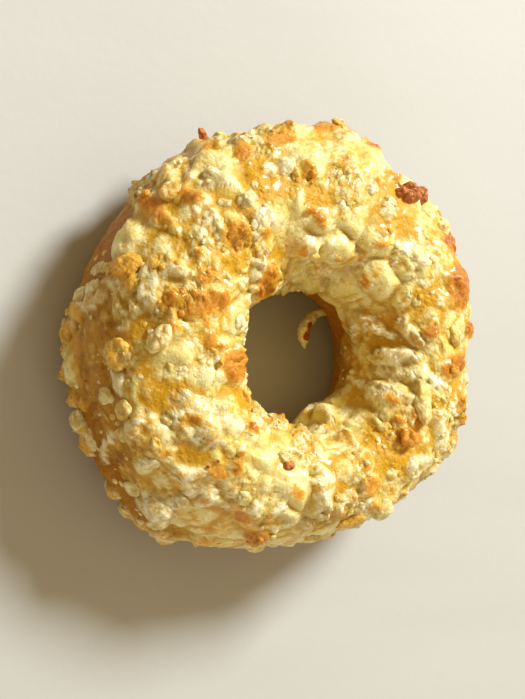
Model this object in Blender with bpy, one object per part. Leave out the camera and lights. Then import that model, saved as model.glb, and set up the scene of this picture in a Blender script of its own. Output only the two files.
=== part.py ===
"""Cheese-topped bagel, lying flat: one ring of baked dough with melted cheese and curds fused onto it.

Lengths are in metres and +Z is up. The flat underside rests on z = 0, under the middle of the outline.
A place on the bagel is given by two angles in degrees: around the ring, from +X towards +Y, and
section, round the dough's cross-section: 0 faces outwards, 90 is the crown and 180 faces the hole.
The shape is worked out about the ring's own axis, and moved under its outline's middle at the end.
"""

import math
import random

import bpy
from mathutils import Euler, Matrix, Vector, noise

MM = 0.001

# The ring of dough
RING_CENTRE = Vector((1.0, -1.0, 0.0)) * MM  # puts the middle of the finished outline on the Z axis
OUTER_RADIUS = 53.5 * MM
OUTER_STRETCH = 2.5 * MM  # the outline is longer along OUTER_STRETCH_AT than across it
OUTER_STRETCH_AT = 33.0
OUTER_CORNERS = 0.9 * MM  # a faint three-cornered swelling
OUTER_CORNERS_AT = -34.0
HOLE_RADIUS = 18.6 * MM
HOLE_STRETCH = 0.6 * MM
HOLE_STRETCH_AT = 81.0
HOLE_OFFSET = Vector((3.9, -4.2, 0.0)) * MM  # the hole is off centre, so one limb is thicker
HEIGHT = 36.2 * MM
WIDEST_SHARE = 0.40  # the section is widest at this share of the height
UNDERSIDE_DEPTH = 1.12  # the round section would reach this much below the base, and is cut flat there
UNEVENNESS = 0.5 * MM  # the dough's gentle waves, and how far apart they are
UNEVENNESS_SPACING = 20 * MM
RELIEF_FADE = (-50.0, -20.0)  # between these sections the skin's relief fades out towards the underside

# Swellings and hollows of the dough: around, section, height, radius
KNUCKLES = (
    (70, 12, 2.2 * MM, 9 * MM),
    (55, 26, -3.0 * MM, 6 * MM),
    (99, 0, -1.6 * MM, 9 * MM),
    (126, 0, 1.8 * MM, 12 * MM),
    (150, -25, 1.0 * MM, 12 * MM),
    (234, -15, 2.2 * MM, 17 * MM),
    (264, 0, -1.0 * MM, 10 * MM),
    (287, 4, -2.0 * MM, 13 * MM),
    (331, 40, 0.8 * MM, 8 * MM),
    (355, 30, -1.4 * MM, 12 * MM),
    (34, 26, 1.2 * MM, 7 * MM),
    (278, 165, -2.4 * MM, 5 * MM),
    (302, 172, 1.8 * MM, 7 * MM),
    (112, 118, -1.8 * MM, 6 * MM),
    (60, 150, -1.6 * MM, 7 * MM),
)

# The melted cheese
CHEESE_THICKNESS = 1.1 * MM
LUMPS = ((10.0 * MM, 1.5 * MM), (5.2 * MM, 1.0 * MM))  # spacing and height of the lumps in it
LUMP_STEEPNESS = 2.2
BEND = 1.8 * MM  # how far, and over what spacing, the lumps' pattern is bent
BEND_SPACING = 6 * MM
OUTER_EDGE = 10.0  # the cheese ends near this section angle outside, and near INNER_EDGE in the hole
INNER_EDGE = 178.0
EDGE_BLUR = 30.0
PATCH_SPACING = 14 * MM  # the sizes of its patches and of its ragged edge
RAGGED_SPACING = 5.5 * MM
EDGE_WEIGHT, PATCH_WEIGHT, RAGGED_WEIGHT, BARE_WEIGHT = 0.55, 0.60, 0.30, 1.4
CHEESE_RAMP = (-0.1, 0.3)  # the cheese thickens to its full height between these values of its coverage

# Places that the cheese leaves bare: around, section, radius
BARE_PLACES = (
    (152, 12, 7 * MM),
    (165, 14, 8 * MM),
    (178, 24, 8 * MM),
    (190, 18, 8 * MM),
    (203, 14, 8 * MM),
    (214, 20, 7 * MM),
    (223, 33, 6 * MM),
    (231, 12, 7 * MM),
    (113, 42, 6 * MM),
    (143, 95, 6 * MM),
    (151, 57, 4 * MM),
    (108, 121, 5 * MM),
    (12, 165, 10 * MM),
    (353, 168, 8 * MM),
    (309, 98, 7 * MM),
    (228, 128, 5 * MM),
)

# Curds that stand out: around, section, length, width
CURDS = (
    (125, 47, 4.4 * MM, 4.2 * MM),
    (163, 22, 4.6 * MM, 4.0 * MM),
    (164, 38, 8.0 * MM, 6.5 * MM),
    (169, 13, 6.2 * MM, 5.5 * MM),
    (171, -4, 6.0 * MM, 4.8 * MM),
    (180, -8, 6.5 * MM, 4.8 * MM),
    (184, 67, 7.5 * MM, 5.0 * MM),
    (137, 35, 6.5 * MM, 5.5 * MM),
    (122, 75, 5.5 * MM, 4.6 * MM),
    (187, 42, 8.0 * MM, 6.0 * MM),
    (197, 30, 5.0 * MM, 4.2 * MM),
    (202, 42, 5.0 * MM, 4.5 * MM),
    (202, -3, 6.0 * MM, 5.0 * MM),
    (207, 3, 6.0 * MM, 5.0 * MM),
    (212, 12, 11.0 * MM, 3.2 * MM),
    (222, 18, 5.8 * MM, 5.2 * MM),
    (229, 25, 9.5 * MM, 7.5 * MM),
    (230, 42, 4.2 * MM, 4.0 * MM),
    (243, 68, 5.0 * MM, 4.4 * MM),
    (258, 26, 8.0 * MM, 6.0 * MM),
    (276, 32, 5.6 * MM, 4.6 * MM),
    (287, 50, 9.0 * MM, 5.6 * MM),
    (296, 52, 7.0 * MM, 5.6 * MM),
    (303, 78, 4.0 * MM, 3.4 * MM),
    (316, 96, 5.4 * MM, 4.6 * MM),
    (333, 102, 11.0 * MM, 5.0 * MM),
    (352, 128, 8.0 * MM, 4.0 * MM),
    (5, 118, 11.0 * MM, 4.4 * MM),
    (3, 78, 7.0 * MM, 6.0 * MM),
    (36, 48, 6.5 * MM, 5.4 * MM),
    (78, 4, 8.0 * MM, 6.0 * MM),
    (100, 4, 7.0 * MM, 5.0 * MM),
    (140, 132, 8.0 * MM, 6.5 * MM),
)
CURD_SUNK = 0.22  # share of a curd's width by which its middle lies in the surface
CURD_TURN = 0.6  # radians, either way
KNOB_DEPTH = 0.28  # how deep a curd's knobs are and how many it has, for a curd of radius 1
KNOB_COUNT = 1.3

# Burnt bits: a knobbly cluster and a shard that stands up on the rim
BURNT_CLUSTER = (49, 58, 7.4 * MM, 5.4 * MM)
BURNT_KNOBS = 6
BURNT_KNOB_SHARES = (0.6, 0.8)  # a knob's length and width, as shares of the cluster's
BURNT_SPREAD = (4.0, 8.0)  # degrees around and of section, either way
BURNT_SHARD_AT = (112, 4)
BURNT_SHARD_LENGTH = 6.0 * MM
BURNT_SHARD_WIDTH = 2.4 * MM
BURNT_SHARD_LEAN = (-20.0, 15.0)
BURNT_SHARD_RAISED = 0.3  # share of its length by which its middle stands off the skin

# Small curds, strewn at random
STREWN_SEED = 31
STREWN_COUNT = 50
STREWN_SECTIONS = (-22.0, 192.0)
STREWN_LENGTH = (3.0 * MM, 5.6 * MM)
STREWN_SLIMNESS = (0.7, 0.95)
STREWN_MARGIN = 1.2 * MM  # a curd keeps this far above the table

# The curl of cheese that hangs into the hole
CURL_ROOT = (24, 196)
CURL_STEPS = (
    (2.5, 0.4, -0.6),
    (-2.6, -0.6, 0.4),
    (-4.6, -2.0, 1.0),
    (-6.4, -4.4, 1.2),
    (-6.9, -7.4, 1.0),
    (-6.0, -9.8, 0.4),
)
CURL_RADII = (1.3, 1.1, 1.2, 1.3, 1.0, 0.3)
CURL_BEVEL = 1.4 * MM

# How finely the ring is divided, and the share of its faces that is kept, mostly where it is lumpy
RING_STEPS = 224
SECTION_STEPS = 72
KEPT_SHARE = 0.165
TOP_HALF = 115.0  # the skin above the flat underside reaches this far either side of the crown
TOP_SHARE = 0.8  # and takes this share of the section's steps

CRUST_COLOUR = (0.62, 0.33, 0.09, 1.0)
CRUST_ROUGHNESS = 0.55
SHARP_FROM = 50.0


def smoothstep(low, high, x):
    t = min(1.0, max(0.0, (x - low) / (high - low)))
    return t * t * (3.0 - 2.0 * t)


def turned(degrees, at, times):
    return math.cos(math.radians(times * (degrees - at)))


def limb(around):
    """(middle, half width) of the dough along one direction from the ring's centre."""
    outer = OUTER_RADIUS + OUTER_STRETCH * turned(around, OUTER_STRETCH_AT, 2)
    outer += OUTER_CORNERS * turned(around, OUTER_CORNERS_AT, 3)
    hole = HOLE_RADIUS + HOLE_STRETCH * turned(around, HOLE_STRETCH_AT, 2)
    direction = Vector((math.cos(math.radians(around)), math.sin(math.radians(around)), 0.0))
    along = HOLE_OFFSET.dot(direction)
    inner = along + math.sqrt(along**2 - HOLE_OFFSET.length_squared + hole**2)
    return (outer + inner) / 2, (outer - inner) / 2


def dough(around, section):
    """A point of the plain ring, with no swellings and no relief."""
    middle, half_width = limb(around)
    widest = WIDEST_SHARE * HEIGHT
    rise = math.sin(math.radians(section))
    depth = (HEIGHT - widest) if rise >= 0 else UNDERSIDE_DEPTH * widest
    out = middle + half_width * math.cos(math.radians(section))
    a = math.radians(around)
    return Vector((out * math.cos(a), out * math.sin(a), widest + depth * rise))


def outwards(around, section):
    """The direction that faces away from the dough."""
    step = 1.0
    round_ring = dough(around + step, section) - dough(around - step, section)
    round_section = dough(around, section + step) - dough(around, section - step)
    return round_ring.cross(round_section).normalized()


def near(point, places):
    """For each place, how near the point is: 1 in its middle, falling away over its radius."""
    for around, section, *size in places:
        apart = (point - dough(around, section)).length
        yield size, math.exp(-((apart / size[-1]) ** 2))


def swelling(point):
    """Height of the dough's swellings and its gentle unevenness."""
    height = sum(size[0] * share for size, share in near(point, KNUCKLES))
    return height + UNEVENNESS * noise.noise(point / UNEVENNESS_SPACING)


def coverage(point, section):
    """How surely cheese lies at this point: over 0 where it does."""
    edge = min(section - OUTER_EDGE, INNER_EDGE - section) / EDGE_BLUR
    cover = EDGE_WEIGHT * min(1.0, edge)
    cover += PATCH_WEIGHT * noise.noise(point / PATCH_SPACING)
    cover += RAGGED_WEIGHT * noise.noise(point / RAGGED_SPACING + Vector((7.0, 3.0, 5.0)))
    return cover - sum(BARE_WEIGHT * share for _, share in near(point, BARE_PLACES))


def bent(point):
    """The point moved a little, so that a pattern read there is less regular."""
    at = point / BEND_SPACING
    shifts = (0.0, 31.0, 67.0)
    return point + BEND * Vector([noise.noise(at + Vector((shift, 0.0, 0.0))) for shift in shifts])


def lumps(point):
    """Height of the cheese's rounded lumps: 0 between them."""
    height = 0.0
    place = bent(point)
    for spacing, rise in LUMPS:
        apart = noise.voronoi(place / spacing)[0][0]
        height += rise * max(0.0, 1.0 - LUMP_STEEPNESS * apart * apart)
    return height


def surface(around, section):
    """A point of the bagel's skin, with the dough's swellings and the cheese on it."""
    section = (section + 90.0) % 360.0 - 90.0
    point = dough(around, section)
    height = swelling(point)
    height += smoothstep(*CHEESE_RAMP, coverage(point, section)) * (CHEESE_THICKNESS + lumps(point))
    upper = smoothstep(*RELIEF_FADE, min(section, 180.0 - section))
    point = point + outwards(around, section) * height * upper
    point.z = max(point.z, 0.0)
    return point


def skin_frame(around, section, turn):
    """A matrix at the skin: its Z faces out, and its X lies along the skin, turned by an angle."""
    out = outwards(around, section)
    along = (dough(around + 1.0, section) - dough(around - 1.0, section)).normalized()
    along = (Matrix.Rotation(turn, 3, out) @ along).normalized()
    across = out.cross(along)
    frame = Matrix((along, across, out)).transposed().to_4x4()
    frame.translation = surface(around, section)
    return frame


def new_collection(name):
    made = bpy.data.collections.new(name)
    bpy.context.scene.collection.children.link(made)
    return made


def move_to(obj, collection):
    for old in list(obj.users_collection):
        old.objects.unlink(obj)
    collection.objects.link(obj)


def spaced(section):
    """Moves evenly spaced section angles closer together above the flat underside."""
    from_crown = (section + 90.0) % 360.0 - 180.0
    even = abs(from_crown) / 180.0
    if even <= TOP_SHARE:
        reach = TOP_HALF * even / TOP_SHARE
    else:
        reach = TOP_HALF + (180.0 - TOP_HALF) * (even - TOP_SHARE) / (1.0 - TOP_SHARE)
    return 90.0 + math.copysign(reach, from_crown)


def apply_modifier(obj, modifier):
    bpy.ops.object.select_all(action="DESELECT")
    obj.select_set(True)
    bpy.context.view_layer.objects.active = obj
    bpy.ops.object.modifier_apply(modifier=modifier.name)


def make_ring(collection):
    """The ring, as a torus whose points are moved onto the skin."""
    bpy.ops.mesh.primitive_torus_add(
        major_segments=RING_STEPS,
        minor_segments=SECTION_STEPS,
        major_radius=OUTER_RADIUS,
        minor_radius=HEIGHT / 2,
    )
    ring = bpy.context.object
    ring.name = "bagel"
    for vertex in ring.data.vertices:
        x, y, z = vertex.co
        around = math.degrees(math.atan2(y, x))
        section = math.degrees(math.atan2(z, math.hypot(x, y) - OUTER_RADIUS))
        vertex.co = surface(around, spaced(section))
    move_to(ring, collection)
    thinner = ring.modifiers.new("thinner", "DECIMATE")
    thinner.ratio = KEPT_SHARE
    apply_modifier(ring, thinner)
    return ring


def make_curd(collection, name, frame, length, width, subdivisions):
    """A lumpy blob half sunk in the skin, longest along the frame's X."""
    bpy.ops.mesh.primitive_ico_sphere_add(subdivisions=subdivisions, radius=1.0)
    curd = bpy.context.object
    curd.name = name
    half_sizes = Vector((length, width, width)) / 2
    for vertex in curd.data.vertices:
        knob = 1.0 + KNOB_DEPTH * noise.noise(vertex.co * KNOB_COUNT + frame.translation / MM)
        vertex.co = vertex.co * half_sizes * knob
    curd.data.transform(frame @ Matrix.Translation((0, 0, width * (0.5 - 2 * CURD_SUNK) / 2)))
    move_to(curd, collection)
    return curd


def make_large_curds(collection):
    turns = random.Random(STREWN_SEED + 1)
    for number, (around, section, length, width) in enumerate(CURDS):
        frame = skin_frame(around, section, turns.uniform(-CURD_TURN, CURD_TURN))
        make_curd(collection, f"curd_{number}", frame, length, width, 2)


def make_strewn_curds(collection):
    """Small curds, evenly spread over the cheese and down the sides."""
    draw = random.Random(STREWN_SEED)
    placed = 0
    while placed < STREWN_COUNT:
        around, section = draw.uniform(0, 360), draw.uniform(*STREWN_SECTIONS)
        length = draw.triangular(STREWN_LENGTH[0], STREWN_LENGTH[1], STREWN_LENGTH[0])
        turn, slimness = draw.uniform(0, math.pi), draw.uniform(*STREWN_SLIMNESS)
        # the hole's wall is shorter than the rim, so it takes fewer
        if draw.random() > math.hypot(*dough(around, section).xy) / OUTER_RADIUS:
            continue
        frame = skin_frame(around, section, turn)
        if frame.translation.z < STREWN_MARGIN + length / 2:
            continue
        make_curd(collection, f"small_curd_{placed}", frame, length, length * slimness, 1)
        placed += 1


def make_burnt_bits(collection):
    around, section, length, width = BURNT_CLUSTER
    longer, wider = BURNT_KNOB_SHARES
    draw = random.Random(STREWN_SEED + 2)
    for number in range(BURNT_KNOBS):
        beside, above = (draw.uniform(-spread, spread) for spread in BURNT_SPREAD)
        frame = skin_frame(around + beside, section + above, draw.uniform(0, math.pi))
        make_curd(collection, f"burnt_{number}", frame, length * longer, width * wider, 2)
    frame = skin_frame(*BURNT_SHARD_AT, 0.0)
    bpy.ops.mesh.primitive_cone_add(
        vertices=7,
        radius1=BURNT_SHARD_WIDTH / 2,
        radius2=0.0,
        depth=BURNT_SHARD_LENGTH,
    )
    shard = bpy.context.object
    shard.name = "burnt_shard"
    lean = Euler([math.radians(angle) for angle in (*BURNT_SHARD_LEAN, 0.0)]).to_matrix().to_4x4()
    raised = Matrix.Translation((0, 0, BURNT_SHARD_LENGTH * BURNT_SHARD_RAISED))
    shard.data.transform(frame @ lean @ raised)
    move_to(shard, collection)


def make_curl(collection):
    """A tapering curl of melted cheese, made from a bevelled curve."""
    line = bpy.data.curves.new("curl_line", "CURVE")
    line.dimensions = "3D"
    line.bevel_depth = CURL_BEVEL
    line.bevel_resolution = 1
    line.use_fill_caps = True
    spline = line.splines.new("POLY")
    spline.points.add(len(CURL_STEPS) - 1)
    root = surface(*CURL_ROOT)
    for point, step, radius in zip(spline.points, CURL_STEPS, CURL_RADII):
        point.co = (*(root + Vector(step) * MM), 1.0)
        point.radius = radius
    guide = bpy.data.objects.new("curl_guide", line)
    collection.objects.link(guide)
    bpy.context.view_layer.update()
    mesh = bpy.data.meshes.new_from_object(guide.evaluated_get(bpy.context.evaluated_depsgraph_get()))
    bpy.data.objects.remove(guide)
    curl = bpy.data.objects.new("curl", mesh)
    collection.objects.link(curl)
    bpy.ops.object.select_all(action="DESELECT")
    curl.select_set(True)
    bpy.context.view_layer.objects.active = curl
    bpy.ops.object.mode_set(mode="EDIT")
    bpy.ops.mesh.select_all(action="SELECT")
    bpy.ops.mesh.remove_doubles(threshold=0.01 * MM)
    bpy.ops.mesh.normals_make_consistent(inside=False)
    bpy.ops.object.mode_set(mode="OBJECT")


def fuse(ring, toppings):
    """Joins the toppings to the ring by one Boolean union, and removes them."""
    union = ring.modifiers.new("fused_toppings", "BOOLEAN")
    union.operation = "UNION"
    union.operand_type = "COLLECTION"
    union.collection = toppings
    union.solver = "MANIFOLD"
    apply_modifier(ring, union)
    for topping in list(toppings.objects):
        bpy.data.objects.remove(topping)
    bpy.data.collections.remove(toppings)


def finish_crust(ring):
    crust = bpy.data.materials.new("baked_crust")
    crust.use_nodes = True
    shader = crust.node_tree.nodes["Principled BSDF"]
    shader.inputs["Base Color"].default_value = CRUST_COLOUR
    shader.inputs["Roughness"].default_value = CRUST_ROUGHNESS
    shader.inputs["Metallic"].default_value = 0.0
    ring.data.materials.clear()
    ring.data.materials.append(crust)
    ring.data.shade_smooth()
    ring.data.set_sharp_from_angle(angle=math.radians(SHARP_FROM))


def main():
    for obj in list(bpy.data.objects):
        bpy.data.objects.remove(obj)
    bagel, toppings = new_collection("bagel"), new_collection("toppings")
    ring = make_ring(bagel)
    make_large_curds(toppings)
    make_strewn_curds(toppings)
    make_burnt_bits(toppings)
    make_curl(toppings)
    fuse(ring, toppings)
    ring.data.transform(Matrix.Translation(RING_CENTRE))
    finish_crust(ring)


main()
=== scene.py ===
"""Looks of a bagel baked under melted cheese: the crust, the cheese, its curds and crumbs, and the stage.

It is laid out as an add-on and is run as a script. Lengths are in metres and +Z is up.
A place on the bagel is given by two angles in degrees: around the ring, from +X towards +Y, and
section, round the dough's cross-section: 0 faces outwards, 90 is the crown and 180 faces the hole.
"""

import math
import random

import bpy
import numpy as np
from bpy.props import FloatProperty, FloatVectorProperty, IntProperty, PointerProperty
from bpy.types import Operator, Panel, PropertyGroup
from mathutils import Euler, Matrix, Vector, noise


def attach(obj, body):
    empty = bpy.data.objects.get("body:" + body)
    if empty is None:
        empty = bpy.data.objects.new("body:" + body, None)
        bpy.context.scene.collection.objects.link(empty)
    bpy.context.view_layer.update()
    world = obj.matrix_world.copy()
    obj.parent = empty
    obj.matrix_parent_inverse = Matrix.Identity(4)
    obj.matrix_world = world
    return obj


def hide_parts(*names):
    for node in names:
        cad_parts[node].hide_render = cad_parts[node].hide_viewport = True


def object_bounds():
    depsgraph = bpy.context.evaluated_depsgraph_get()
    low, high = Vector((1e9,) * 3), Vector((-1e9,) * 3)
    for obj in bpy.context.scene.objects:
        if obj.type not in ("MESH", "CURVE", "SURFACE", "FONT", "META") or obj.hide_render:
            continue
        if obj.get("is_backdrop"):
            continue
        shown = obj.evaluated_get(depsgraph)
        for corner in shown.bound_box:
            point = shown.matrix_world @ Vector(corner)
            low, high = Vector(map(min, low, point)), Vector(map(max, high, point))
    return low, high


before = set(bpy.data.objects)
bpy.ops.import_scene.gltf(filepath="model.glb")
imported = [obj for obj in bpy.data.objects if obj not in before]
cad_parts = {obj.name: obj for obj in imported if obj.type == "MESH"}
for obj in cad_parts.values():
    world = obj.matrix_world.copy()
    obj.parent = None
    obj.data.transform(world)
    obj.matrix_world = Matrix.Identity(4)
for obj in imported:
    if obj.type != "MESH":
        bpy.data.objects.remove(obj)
CAD_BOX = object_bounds()

bl_info = {
    "name": "Cheese-topped bagel",
    "version": (1, 0, 0),
    "blender": (4, 5, 0),
    "location": "3D View > Sidebar > Bagel",
    "description": "Makes a bagel baked under melted cheese, piece by piece",
    "category": "Object",
}

MM = 0.001
BODY = "root"

# The ring of dough
RING_CENTRE = np.array((1.0, -1.0, 0.0)) * MM
OUTER_RADIUS = 53.5 * MM
OUTER_STRETCH = 2.5 * MM
OUTER_STRETCH_AT = 33.0
OUTER_CORNERS = 0.9 * MM
OUTER_CORNERS_AT = -34.0
HOLE_RADIUS = 18.6 * MM
HOLE_STRETCH = 0.6 * MM
HOLE_STRETCH_AT = 81.0
HOLE_OFFSET = np.array((3.9, -4.2, 0.0)) * MM
HEIGHT = 36.2 * MM
WIDEST_SHARE = 0.40
UNDERSIDE_DEPTH = 1.12
CRUST_STEPS = (360, 110)  # grid steps around the ring and round its section

# Swellings and hollows of the dough: around, section, then height and radius in millimetres
KNUCKLES = (
    (70, 12, 2.2, 9), (55, 26, -3, 6), (99, 0, -1.6, 9), (126, 0, 1.8, 12), (150, -25, 1, 12),
    (234, -15, 2.2, 17), (264, 0, -1, 10), (287, 4, -2, 13), (331, 40, 0.8, 8), (355, 30, -1.4, 12),
    (34, 26, 1.2, 7), (278, 165, -2.4, 5), (302, 172, 1.8, 7), (112, 118, -1.8, 6), (60, 150, -1.6, 7),
)

# The melted cheese
BEND = 1.8 * MM
BEND_SPACING = 6 * MM
PATCH_SPACING = 14 * MM
EDGE_SPACING = 5.5 * MM
LUMP_SPACINGS = np.array((9.0, 4.6, 2.5, 1.25)) * MM  # broad lumps, knobs, nubs and grains
OUTER_EDGE = -2.0
INNER_EDGE = 202.0
EDGE_BLUR = 30.0
CHEESE_REACH = (-38.0, 222.0)  # section angles between which the sheet of cheese is made
CHEESE_TUCK = 1.6 * MM  # how far its hidden back lies under the crust
CHEESE_STEPS = (560, 166)
CHEESE_BACK_STEPS = 14

# Places that the cheese leaves bare: around, section, then the radius in millimetres
BARE_PLACES = (
    (147, -8, 4), (156, -1, 4.5), (165, 3, 5), (173, -4, 4), (214, -12, 5), (224, -12, 6), (28, 190, 7),
)

# Places where the cheese flowed out smooth, without curds, given alike
SMOOTH_PLACES = (
    (70, 130, 12), (45, 142, 11), (71, 52, 8), (155, 27, 5), (122, 42, 6), (216, 88, 7), (246, 100, 8),
    (262, 75, 7), (345, 120, 6), (20, 66, 6), (34, 95, 6), (331, 131, 6), (110, 100, 6), (190, 75, 6),
    (95, 55, 7), (300, 60, 6), (50, 40, 8), (303, 168, 8), (299, 140, 6),
)

# Places on the side where only a deep amber film lies on the crust, given alike
FILM_PLACES = (
    (173, 20, 6), (183, 27, 7), (194, 27, 7), (204, 25, 7), (213, 16, 8), (222, 6, 6), (232, -2, 5),
    (340, 176, 6), (5, 178, 6),
)

# Places where the cheese ran thin and set smooth and amber, given alike
THIN_PLACES = (
    (151, 60, 4), (143, 97, 6), (113, 60, 6), (108, 78, 7), (92, 88, 4), (108, 121, 6), (60, 70, 6),
    (45, 85, 5), (20, 95, 6), (2, 135, 9), (345, 75, 6), (309, 92, 8), (300, 75, 5), (222, 127, 5),
    (200, 72, 7), (180, 55, 5), (220, 66, 4), (315, 152, 6), (303, 125, 4),
)

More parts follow.
